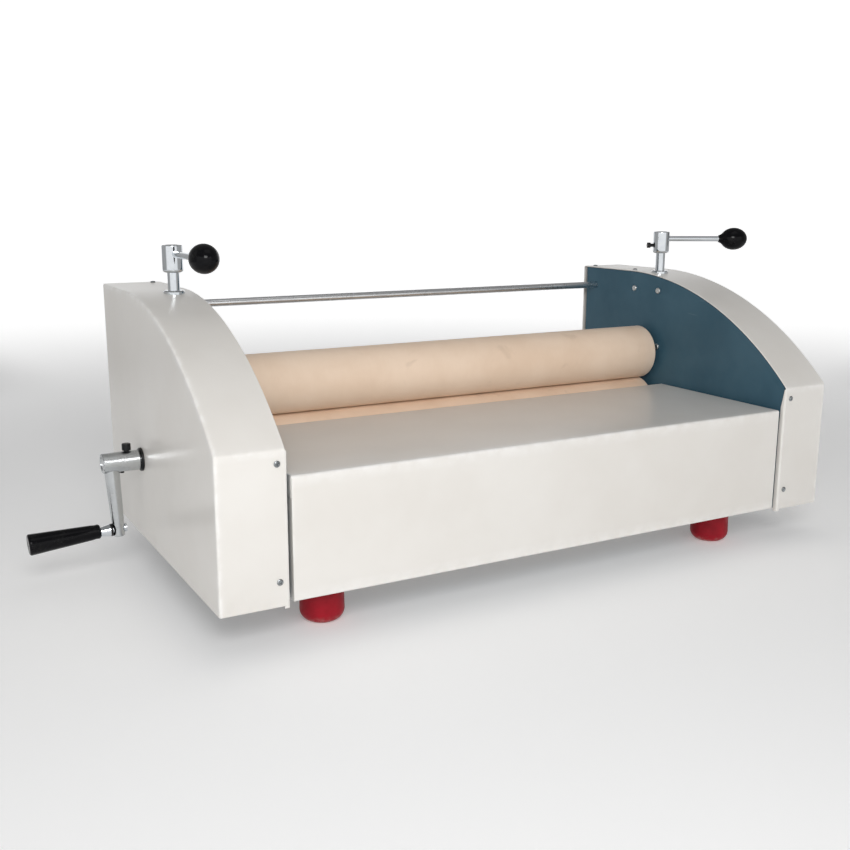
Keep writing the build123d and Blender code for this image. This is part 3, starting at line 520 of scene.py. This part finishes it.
def coverPiece(hand, side):
    low, high = nodeBox(f"{hand}_cover")
    line, normal, bends = coverLine(low, high)
    sheet, bend = coverSizes["sheet"], coverSizes["sideBend"]
    outer = max(abs(low[0]), abs(high[0]))
    inner = min(abs(low[0]), abs(high[0])) + sheet
    lip = arc((inner + sheet / 2, sheet / 2), sheet / 2, 90, 270, 7)
    nearLip = inner + np.array([0.0012, 0.002, 0.004])
    nearBend = outer - bend - np.array([0.003, 0.0012])
    skinX = np.concatenate([nearLip, np.linspace(inner + 0.008, outer - 0.008, 9), nearBend])
    skin = np.stack([skinX, np.zeros(len(skinX))], 1)
    outside = np.concatenate([lip, skin, arc((outer - bend, bend), bend, -90, 0, 9)])
    lipFoot = np.repeat(lip[:1], len(lip), axis=0)
    innerBend = arc((outer - bend, bend), bend - sheet, -90, 0, 9)
    inside = np.concatenate([lipFoot, skin + (0, sheet), innerBend])
    centre = np.array([(low[1] + high[1]) / 2, low[2] + coverSizes["lipDrop"]])
    share = np.concatenate([[0.012, 0.035], np.linspace(0.08, 1.0, 12)])

    # Strip: line point minus inset times normal, at each x. Panel: straight from the last ring to
    # the centre, pressed in by a sine each way.
    def skinGrid(section, wallX):
        strip = np.empty((len(line), len(section), 3))
        strip[..., 0] = side * section[None, :, 0]
        strip[..., 1:] = line[:, None, :] - section[None, :, 1:2] * normal[:, None, :]
        ring = strip[:, -1, 1:]
        panel = np.empty((len(line), len(share), 3))
        panel[..., 1:] = ring[:, None] + share[None, :, None] * (centre - ring)[:, None]
        press = np.sin(np.pi * np.linspace(0, 1, len(line)))[:, None] * np.sin(np.pi * share)
        panel[..., 0] = side * (wallX - coverSizes["sag"] * press)
        return np.concatenate([strip, panel], axis=1)

    outGrid, inGrid = skinGrid(outside, outer), skinGrid(inside, outer - sheet)
    columns = np.concatenate([outside[:, 0], np.full(len(share), outer)])
    # Edge values near the side bend and the sheet's inner edge pale the paint there: partly wear,
    # partly a painted highlight.
    fold = np.exp(-np.maximum(outer - bend - columns, 0) / 0.0015)
    fold[len(outside):] = np.exp(-share / 0.012)
    onStrip = np.concatenate([np.ones(len(outside)), np.zeros(len(share))])
    fold = np.maximum(fold, np.exp(-(columns - inner) / 0.0009))
    near = np.maximum(bends[:, None] * onStrip, fold[None, :])
    rims = [np.stack([outGrid[row], inGrid[row]]) for row in (0, -1)]
    lipTop = low[2] + coverSizes["lipDrop"] + coverSizes["frontHeight"] - coverSizes["frontBend"]
    front, lipEnd = low[1] + coverSizes["lipInset"], low[1] + coverSizes["lip"]
    tip, thick = inner + coverSizes["tongue"], front + coverSizes["tongueThick"]
    hook = [
        (inner - sheet, front, coverSizes["lipBend"]),
        (inner - sheet, lipEnd, coverSizes["lipRound"]),
        (inner, lipEnd, coverSizes["lipRound"]),
        (inner, thick, 0),
        (tip, thick, 0),
        (tip, front, 0),
    ]
    flange = bar(hook, (inner - sheet / 2, front + 0.0007), low[2], lipTop + 0.002)
    below = lipTop + 0.004 - flange[..., 2]
    taper = np.clip(below / coverSizes["lipTaper"], coverSizes["lipThinnest"], 1.0)
    flange[..., 1] = front + (flange[..., 1] - front) * taper
    flange[..., 0] *= side
    # A fixed edge value pales the whole lip: partly wear, partly a painted highlight on the folded
    # lip.
    rubbedAndHighlit = np.full(flange.shape[:2], coverSizes["lipRubbedAndHighlit"])
    grids = [(outGrid, near), inGrid, (flange, rubbedAndHighlit)] + rims
    makePiece(f"{hand}CoverSheet", grids, "frame", [f"{hand}_cover"])


for hand, side in (("left", -1), ("right", 1)):
    coverPiece(hand, side)
print("covers folded")


# Cover screws: a domed head with a cross recess and a plain shank. The dome is height times
# sqrt(1 - dome (r / R)^2), less two crossed slots. Each screw is turned by one more twist.
screwSizes = {
    "head": 0.0034,
    "height": 0.0020,
    "dome": 0.8,
    "slot": 0.00085,
    "slotHalf": 0.0005,
    "slotReach": 0.0021,
    "slotFade": 0.12,
    "shank": 0.0020,
    "length": 0.0050,
    "fromEdge": 0.009,
    "topFromEdge": 0.012,
    "heights": (0.0265, 0.150),
    "topInsets": (0.112, 0.014),
    "twist": 0.6,
}


def screwHead(place, outward, twist):
    radius = screwSizes["head"]
    outward = np.array(outward, float)
    helper = np.array([0.0, 0.0, 1.0]) if abs(outward[2]) < 0.9 else np.array([0.0, 1.0, 0.0])
    right = np.cross(helper, outward)
    up = np.cross(outward, right)
    spin = np.linspace(0, 2 * np.pi, 73)
    spin[-1] = 0.0
    share = np.linspace(0, 1, 30)
    across, along = share[:, None] * np.cos(spin - twist), share[:, None] * np.sin(spin - twist)
    dome = screwSizes["height"] * np.sqrt(1 - screwSizes["dome"] * share[:, None] ** 2)
    dome = dome * np.ones(len(spin))
    half, reach = screwSizes["slotHalf"] / radius, screwSizes["slotReach"] / radius
    slots = [
        np.clip((half * 1.5 - abs(a)) / half, 0, 1)
        * np.clip((reach - abs(b)) / screwSizes["slotFade"], 0, 1)
        for a, b in ((across, along), (along, across))
    ]
    dome -= screwSizes["slot"] * np.maximum(*slots)
    shank, tip = screwSizes["shank"] / radius, -screwSizes["length"]
    under = np.array([(0.0004, 1.0), (0.0, 0.97), (0.0, shank), (tip, shank), (tip, 0)])
    rise = np.concatenate([dome, np.repeat(under[:, :1], len(spin), axis=1)])
    share = np.concatenate([share, under[:, 1]])[:, None, None] * radius
    ring = np.cos(spin)[:, None] * right + np.sin(spin)[:, None] * up
    return np.array(place) + share * ring + rise[..., None] * outward


def coverScrews():
    grids = []
    for hand, side in (("left", -1), ("right", 1)):
        low, high = nodeBox(f"{hand}_cover")
        base = low[2] + coverSizes["lipDrop"]
        inner = min(abs(low[0]), abs(high[0])) + coverSizes["sheet"]
        x = side * (inner + screwSizes["fromEdge"])
        topX = side * (inner + screwSizes["topFromEdge"])
        spots = []
        for z in screwSizes["heights"]:
            spots += [((x, low[1], base + z), (0, -1, 0)), ((x, high[1], base + z), (0, 1, 0))]
        for inset in screwSizes["topInsets"]:
            spots.append(((topX, high[1] - inset, high[2]), (0, 0, 1)))
        for number, (spot, outward) in enumerate(spots):
            grids.append(screwHead(spot, outward, screwSizes["twist"] * number + side))
    steel = metal("screwSteel")
    makePiece("coverScrewHeads", grids, "frame", ["cover_screws"], crease=40, finish=steel)


coverScrews()
print("cover screws set")


# A folded sheet of even thickness: the line is its outer face in side view, and the section goes
# round a flattened tube, out along one face and back along the other, with rounded ends. The
# first and last rows close on the middle of the thickness. The axes are those of the side view
# and of the width from low to high.
def foldedSheet(line, low, high, sheet, outward, axes=(1, 2, 0)):
    step = np.gradient(line, axis=0)
    step /= np.linalg.norm(step, axis=1)[:, None]
    normal = np.stack([step[:, 1], -step[:, 0]], 1) * outward
    half = sheet / 2
    middle = np.linspace(low + 0.02, high - 0.02, 24)
    across = np.concatenate([[low + half, low + 0.004], middle, [high - 0.004, high - half]])
    upper = np.stack([across, np.zeros(len(across))], 1)
    endHigh = arc((high - half, half), half, -90, 90, 7)[1:]
    lower = np.stack([across[::-1], np.full(len(across), sheet)], 1)[1:]
    endLow = arc((low + half, half), half, 90, 270, 7)[1:]
    loop = np.concatenate([upper, endHigh, lower, endLow])
    close = np.radians(np.linspace(90, 0, 5))
    rows = np.concatenate([np.zeros(4, int), np.arange(len(line)), np.full(4, len(line) - 1)])
    thin = np.concatenate([np.cos(close[:4]), np.ones(len(line)), np.cos(close[:4])[::-1]])
    past = np.sin(close[:4]) * half
    beyond = np.concatenate([-past, np.zeros(len(line)), past[::-1]])
    inset = half + (loop[None, :, 1] - half) * thin[:, None]
    flat = line[rows][:, None] + step[rows][:, None] * beyond[:, None, None]
    flat = flat - normal[rows][:, None] * inset[..., None]
    grid = np.empty(flat.shape[:2] + (3,))
    grid[..., axes[0]], grid[..., axes[1]] = flat[..., 0], flat[..., 1]
    grid[..., axes[2]] = loop[None, :, 0]
    ends = np.minimum(loop[:, 0] - low, high - loop[:, 0])
    # Edge values at the bends and the ends pale the paint there: partly wear, partly a painted
    # highlight along the folds.
    turnRate = np.abs(np.gradient(np.unwrap(np.arctan2(step[:, 1], step[:, 0]))))
    near = np.maximum(np.clip(turnRate[rows] * 6, 0, 1)[:, None], np.exp(-ends / 0.001)[None, :])
    return grid, near


# More points along a line: as many as its length over the spacing, at even steps of each side.
def finer(line, spacing):
    lengths = np.linalg.norm(np.diff(line, axis=0), axis=1)
    counts = np.maximum(np.ceil(lengths / spacing).astype(int), 1)
    at = np.concatenate([[0.0]] + [i + np.arange(1, n + 1) / n for i, n in enumerate(counts)])
    whole = np.arange(len(line))
    return np.stack([np.interp(at, whole, line[:, 0]), np.interp(at, whole, line[:, 1])], 1)


# Tables: one sheet folded over the apron and the back, with a flange down each end and, behind
# the apron, an upright return below the flange.
tableSizes = {
    "sheet": 0.0015,
    "bend": 0.003,
    "rearBend": 0.002,
    "lip": 0.014,
    "flange": 0.025,
    "flangeEnd": 0.0035,
    "return": 0.014,
    "returnStart": 0.001,
    "corner": 0.0004,
    "endInset": 0.0001,
}


def tablePiece(name, replaced, apronSide):
    low, high = nodeBox(replaced)
    sheet, lip, half = tableSizes["sheet"], tableSizes["lip"], tableSizes["sheet"] / 2
    apron, back = (low[1], high[1]) if apronSide < 0 else (high[1], low[1])
    inward = -apronSide
    corners = [
        (apron + inward * (lip - half), low[2], 0),
        (apron, low[2], tableSizes["bend"]),
        (apron, high[2], tableSizes["bend"]),
        (back, high[2], tableSizes["rearBend"]),
        (back, high[2] - lip + half, 0),
    ]
    line = finer(roundedLine(corners, 8), 0.012)
    grids = [foldedSheet(line, low[0], high[0], sheet, -inward)]
    top = high[2] - sheet
    for side in (-1, 1):
        run = np.array([(high[2] - tableSizes["flange"], 0.0), (top, 0.0)])
        reach = (low[1] + tableSizes["flangeEnd"], high[1] - tableSizes["flangeEnd"])
        flange, rubbedAndHighlit = foldedSheet(finer(run, 0.006), *reach, sheet, -side, (2, 0, 1))
        outside, inside = high[0] - tableSizes["endInset"], high[0] - sheet
        flange[..., 0] += side * outside
        grids.append((flange, rubbedAndHighlit))
        near, far = (apron + inward * tableSizes[key] for key in ("returnStart", "return"))
        corner = tableSizes["corner"]
        spots = ((outside, near), (outside, far), (inside, far), (inside, near))
        plan = [(x, y, corner) for x, y in spots]
        middle = (outside - sheet / 2, (near + far) / 2)
        upright = bar(plan, middle, low[2] + corner, high[2] - tableSizes["flange"] + 0.001)
        upright[..., 0] *= side
        grids.append(upright)
    makePiece(name, grids, "frame", [replaced])


tablePiece("feedTableSheet", "feed_table", -1)
tablePiece("outfeedTableSheet", "outfeed_table", 1)
print("tables folded")


# Rubber sleeves: a turned wall with rounded outer corners, open at both ends where the tube shows.
rollerSizes = {"corner": 0.0014, "bore": 0.03005}


def sleevePiece(level, body):
    replaced = f"{level}_roller_rubber"
    low, high = nodeBox(replaced)
    centre = nodeCentre(replaced)
    radius = (high[2] - low[2]) / 2
    bore, corner = rollerSizes["bore"], rollerSizes["corner"]
    length = high[0] - low[0]
    outline = [(0, bore, 0), (0, radius, corner), (length, radius, corner), (length, bore, 0)]
    outer = roundedLine(outline, 8)
    outer = finer(outer, 0.02)
    profile = np.concatenate([outer, outer[:1]])
    grid = turned(profile, (low[0], centre[1], centre[2]), (1, 0, 0), 128)
    # Edge values near the ends pale the rubber there as a painted highlight on the rims.
    near = np.exp(-np.minimum(profile[:, 0], length - profile[:, 0]) / 0.0012)
    near = np.repeat(near[:, None], grid.shape[1], 1)
    makePiece(f"{level}Sleeve", [(grid, near)], body, [replaced])


sleevePiece("upper", "upper_roller")
sleevePiece("lower", "lower_roller")
print("sleeves turned")


# Feet: a nearly straight side, a well rounded foot, a bore for the screw head, and a faint mould
# line.
footSizes = {
    "sole": 0.012,
    "topRadius": 0.0243,
    "recess": 0.0075,
    "recessDepth": 0.021,
    "bolt": 0.0043,
    "chamfer": 0.0006,
    "seam": 0.0003,
    "seamHeight": 0.62,
}


def footPiece(place, hand):
    replaced = f"foot_{place}_{hand}"
    low, high = nodeBox(replaced)
    centre = nodeCentre(replaced)
    radius, tall = (high[0] - low[0]) / 2, high[2] - low[2]
    soleRound = radius - footSizes["sole"]
    recess, deep, bolt = footSizes["recess"], footSizes["recessDepth"], footSizes["bolt"]
    chamfer, rim = footSizes["chamfer"], footSizes["topRadius"]
    bore = [(chamfer, recess, 0), (deep, recess, 0.0008), (deep, bolt, 0), (tall, bolt, 0)]
    swing = np.radians(np.linspace(0, 90, 14))
    sole = [soleRound - soleRound * np.cos(swing), footSizes["sole"] + soleRound * np.sin(swing)]
    side = np.concatenate([[[0.0, recess + chamfer]], np.stack(sole, 1)])
    lift = np.linspace(soleRound, tall - 0.0012, 12)[1:]
    wall = radius + (rim - radius) * (lift - soleRound) / (tall - soleRound)
    seam = np.exp(-((lift - tall * footSizes["seamHeight"]) / 0.0012) ** 2)
    wall = wall - footSizes["seam"] * seam
    top = np.array([(tall - 0.0003, rim - 0.0004), (tall, rim - 0.0012), (tall, bolt)])
    boreLine = roundedLine(bore, 5)[::-1]
    profile = np.concatenate([side, np.stack([lift, wall], 1), top, boreLine, side[:1]])
    grid = turned(profile, (centre[0], centre[1], low[2]), (0, 0, 1), 72)
    makePiece(f"{place}{hand.capitalize()}Foot", [grid], "frame", [replaced], crease=40)


for place in ("front", "rear"):
    for hand in ("left", "right"):
        footPiece(place, hand)
print("feet moulded")


# Oval knobs: an ellipse turned about the rod, which runs into a short cone neck.
knobSizes = {
    "radius": 0.0165,
    "half": 0.0198,
    "neck": 0.023,
    "neckRadius": 0.0055,
    "bore": 0.0041,
    "meet": 145.0,
    "lip": 0.0006,
    "waist": 0.0007,
}
# Degrees from the X axis to each lever's rod, seen from above.
leverAngles = {"left": -88.0, "right": -28.7}


def leverAxis(hand):
    angle = np.radians(leverAngles[hand])
    return np.array([np.cos(angle), np.sin(angle), 0.0])


def knobPiece(hand):
    replaced = f"{hand}_lever_knob"
    low, high = nodeBox(replaced)
    axis = leverAxis(hand)
    rod = nodeCentre(f"{hand}_lever_rod")
    post = nodeCentre(f"{hand}_pressure_screw")
    # The oval's furthest point along Y is sqrt((half ay)^2 + (radius ax)^2) beyond its middle.
    spread = np.hypot(knobSizes["half"] * axis[1], knobSizes["radius"] * axis[0])
    reach = (low[1] + spread - post[1]) / axis[1]
    middle = np.array([post[0], post[1], rod[2]]) + reach * axis
    ball = arc((0, 0), 1.0, 0, knobSizes["meet"], 40) * (knobSizes["half"], knobSizes["radius"])
    face, bore, lip = -knobSizes["neck"], knobSizes["bore"], knobSizes["lip"]
    neck = np.linspace(ball[-1], (face + lip, knobSizes["neckRadius"]), 9)[1:]
    neck[:, 1] -= knobSizes["waist"] * np.sin(np.linspace(0.12, 1, 8) * np.pi)
    end = [(face, knobSizes["neckRadius"] - lip), (face, bore), (0.0, bore), (0.0, 0.0)]
    profile = np.concatenate([ball, neck, end])
    grid = turned(profile, middle, axis, 72)
    makePiece(f"{hand}BallKnob", [grid], f"{hand}_lever", [replaced], crease=50)


# Lever hubs: a turned barrel with a rounded foot, a fine groove near its top, and a dished top.
hubSizes = {
    "footRound": 0.004,
    "topRound": 0.0014,
    "dish": 0.0006,
    "dishRadius": 0.0085,
    "bore": 0.00705,
    "groove": 0.0003,
    "grooveHeight": 0.80,
    "grooveWidth": 0.0005,
}


def hubPiece(hand):
    replaced = f"{hand}_lever_hub"
    low, high = nodeBox(replaced)
    post = nodeCentre(f"{hand}_pressure_screw")
    radius, tall = (high[0] - low[0]) / 2, high[2] - low[2]
    inside = nodeBox(f"{hand}_pressure_screw")[1][2] - low[2]
    bore, dishRadius, dished = hubSizes["bore"], hubSizes["dishRadius"], tall - hubSizes["dish"]
    corners = [
        (inside, 0, 0),
        (inside, bore, 0),
        (0, bore, 0.0006),
        (0, radius, hubSizes["footRound"]),
        (tall, radius, hubSizes["topRound"]),
        (tall, dishRadius, 0.0005),
        (dished, dishRadius - 0.0008, 0.0004),
        (dished, 0, 0),
    ]
    profile = finer(roundedLine(corners, 8), 0.002)
    away = (profile[:, 0] - tall * hubSizes["grooveHeight"]) / hubSizes["grooveWidth"]
    groove = np.exp(-away ** 2) * (profile[:, 1] > radius * 0.98)
    profile[:, 1] -= hubSizes["groove"] * groove
    grid = turned(profile, (post[0], post[1], low[2]), (0, 0, 1), 72)
    makePiece(f"{hand}HubBarrel", [grid], f"{hand}_lever", [replaced])


for hand in ("left", "right"):
    knobPiece(hand)
    hubPiece(hand)
print("levers made")


# Crank grip: a tapered handle with a rounded shoulder, a fine groove behind its small end, and a
# dished outer end.
gripSizes = {
    "tilt": 3.0,
    "small": 0.0085,
    "large": 0.0127,
    "shoulder": 0.0028,
    "end": 0.0024,
    "groove": 0.0004,
    "grooveAt": 0.006,
    "grooveWidth": 0.0012,
    "boreStart": 0.012,
    "bore": 0.00405,
}


def gripPiece():
    low, high = nodeBox("crank_grip")
    centre = nodeCentre("crank_grip")
    spindle = nodeCentre("grip_spindle")
    tilt = np.radians(gripSizes["tilt"])
    axis = np.array([-np.cos(tilt), 0.0, -np.sin(tilt)])
    small, large = gripSizes["small"], gripSizes["large"]
    length = (high[0] - low[0] - (small + large) * np.sin(tilt)) / np.cos(tilt)
    # The small end's rim sets the highest x, so the start is that far in along the axis.
    startX = high[0] - small * np.sin(tilt)
    start = (startX, centre[1], spindle[2] + (startX - spindle[0]) * np.tan(tilt))
    corners = [
        (0, gripSizes["bore"], 0),
        (0, small, gripSizes["shoulder"]),
        (length, large, gripSizes["end"]),
        (length, large * 0.45, 0.002),
        (length - 0.0006, 0, 0),
    ]
    profile = finer(roundedLine(corners, 9), 0.004)
    away = (profile[:, 0] - gripSizes["grooveAt"]) / gripSizes["grooveWidth"]
    groove = np.exp(-away ** 2) * (profile[:, 1] > small * 0.9)
    profile[:, 1] -= gripSizes["groove"] * groove
    blind = length - gripSizes["boreStart"]
    bore = np.array([(blind, 0.0), (blind, gripSizes["bore"]), (0.0, gripSizes["bore"])])
    grid = turned(np.concatenate([bore, profile[1:]]), start, axis, 72)
    makePiece("crankGripHandle", [grid], "crank_grip", ["crank_grip"])


gripPiece()
print("grip made")

# Camera: yaw turns it from +Y towards +X, pitch is downwards, in degrees, and the lens is in mm.
cameraView = {
    "place": (-0.7149, -1.1588, 0.4577),
    "yaw": 29.12,
    "pitch": 12.45,
    "roll": 0.18,
    "lens": 44.18,
    "sensor": 36.0,
    "clip": 0.01,
}


# The matrix of an object that looks away from its back, with its right and up as given.
def placed(right, up, back, place):
    turn = np.eye(4)
    turn[:3] = np.stack([right, up, back, place], axis=1)
    return Matrix(turn.tolist())


def addCamera():
    yaw, pitch, roll = (np.radians(cameraView[k]) for k in ("yaw", "pitch", "roll"))
    ahead = np.array([np.sin(yaw) * np.cos(pitch), np.cos(yaw) * np.cos(pitch), -np.sin(pitch)])
    right = np.array([np.cos(yaw), -np.sin(yaw), 0.0])
    up = np.cross(right, ahead)
    turnedRight = np.cos(roll) * right + np.sin(roll) * up
    turnedUp = -np.sin(roll) * right + np.cos(roll) * up
    camera = bpy.data.objects.new("camera", bpy.data.cameras.new("camera"))
    camera.data.lens = cameraView["lens"]
    camera.data.sensor_width = cameraView["sensor"]
    camera.data.clip_start = cameraView["clip"]
    camera.matrix_world = placed(turnedRight, turnedUp, -ahead, cameraView["place"])
    bpy.context.scene.collection.objects.link(camera)
    bpy.context.scene.camera = camera


# Floor: level to a wide radius, then a quarter round up to a low wall, so the ground has no edge.
# It glows more far out, apart from two dim sectors at the sides, which the chrome reflects. The
# edges of a sector are cosines from the front.
studio = {
    "floorRadius": 3.2,
    "coveRadius": 1.6,
    "wallHeight": 0.5,
    "tone": 0.86,
    "glow": 0.19,
    "farGlow": 0.62,
    "shade": 0.4,
    "sky": 0.26,
    "front": (-0.47, -0.88, 0.0),
    "rearEdge": (-0.82, -0.66),
    "frontEdge": (0.60, 0.40),
    "dimReach": (1.3, 2.0),
    "glowReach": (0.8, 2.9),
}


def addFloor():
    cove = arc((studio["floorRadius"], studio["coveRadius"]), studio["coveRadius"], -90, 0, 20)
    wallRadius = studio["floorRadius"] + studio["coveRadius"]
    wallTop = studio["coveRadius"] + studio["wallHeight"]
    outline = np.concatenate([[(0.0, 0.0)], cove, [(wallRadius, wallTop)]])
    grid = turned(outline[:, ::-1], (0, 0, 0), (0, 0, 1), 96)
    mesh = bpy.data.meshes.new("floor")
    mesh.from_pydata(grid.reshape(-1, 3).tolist(), [], gridQuads(grid).tolist())
    mesh.polygons.foreach_set("use_smooth", np.full(len(mesh.polygons), True))
    floor = bpy.data.objects.new("floor", mesh)
    bpy.context.scene.collection.objects.link(floor)
    material, tree, shader, place = startFinish("floorPaper", Roughness=0.9)
    shader.inputs["Emission Color"].default_value = colour(1.0, 1.0, 1.0)
    reach = addNode(tree, "VectorMath", {"operation": "LENGTH"}, i0=place).outputs["Value"]
    dot = addNode(tree, "VectorMath", {"operation": "DOT_PRODUCT"}, i0=place, i1=studio["front"])
    facing = calc(tree, "DIVIDE", dot.outputs["Value"], reach)
    edges = [ramp(tree, facing, *studio[edge]) for edge in ("rearEdge", "frontEdge")]
    sector = calc(tree, "MULTIPLY", *edges)
    sector = calc(tree, "MULTIPLY", sector, ramp(tree, reach, *studio["dimReach"]))
    lit = calc(tree, "SUBTRACT", 1.0, calc(tree, "MULTIPLY", sector, 1.0 - studio["shade"]))
    farther = ramp(tree, reach, *studio["glowReach"], studio["glow"], studio["farGlow"])
    glow = calc(tree, "MULTIPLY", lit, farther)
    tree.links.new(glow, shader.inputs["Emission Strength"])
    tone = blendColour(tree, lit, colour(0.0, 0.0, 0.0), colour(*[studio["tone"]] * 3))
    tree.links.new(tone, shader.inputs["Base Color"])
    mesh.materials.append(material)


# Softboxes, each at its place and turned to its aim; size is width and height.
softboxes = {
    "keyLight": {
        "place": (-0.75, -1.45, 1.00), "aim": (-0.1, 0.0, 0.15),
        "size": (0.7, 0.5), "watts": 12.2,
    },
    "topLight": {
        "place": (0.1, -0.9, 2.6), "aim": (0.0, 0.0, 0.1),
        "size": (1.6, 1.2), "watts": 3.0,
    },
    "rimLight": {
        "place": (-2.2, 0.9, 1.9), "aim": (0.0, 0.0, 0.2),
        "size": (1.0, 1.0), "watts": 0.6,
    },
}


def addLights():
    for name, box in softboxes.items():
        light = bpy.data.lights.new(name, "AREA")
        light.shape = "RECTANGLE"
        light.size, light.size_y = box["size"]
        light.energy = box["watts"]
        lamp = bpy.data.objects.new(name, light)
        ahead = np.array(box["aim"]) - np.array(box["place"])
        ahead /= np.linalg.norm(ahead)
        right = np.cross(ahead, (0.0, 0.0, 1.0))
        right /= np.linalg.norm(right)
        lamp.matrix_world = placed(right, np.cross(right, ahead), -ahead, box["place"])
        bpy.context.scene.collection.objects.link(lamp)
    world = bpy.data.worlds.new("studioSky")
    bpy.context.scene.world = world
    world.use_nodes = True
    sky = world.node_tree.nodes["Background"]
    sky.inputs["Color"].default_value = colour(1.0, 1.0, 1.0)
    sky.inputs["Strength"].default_value = studio["sky"]


addCamera()
addFloor()
addLights()
bpy.context.scene.view_settings.view_transform = "Standard"
print("studio set")
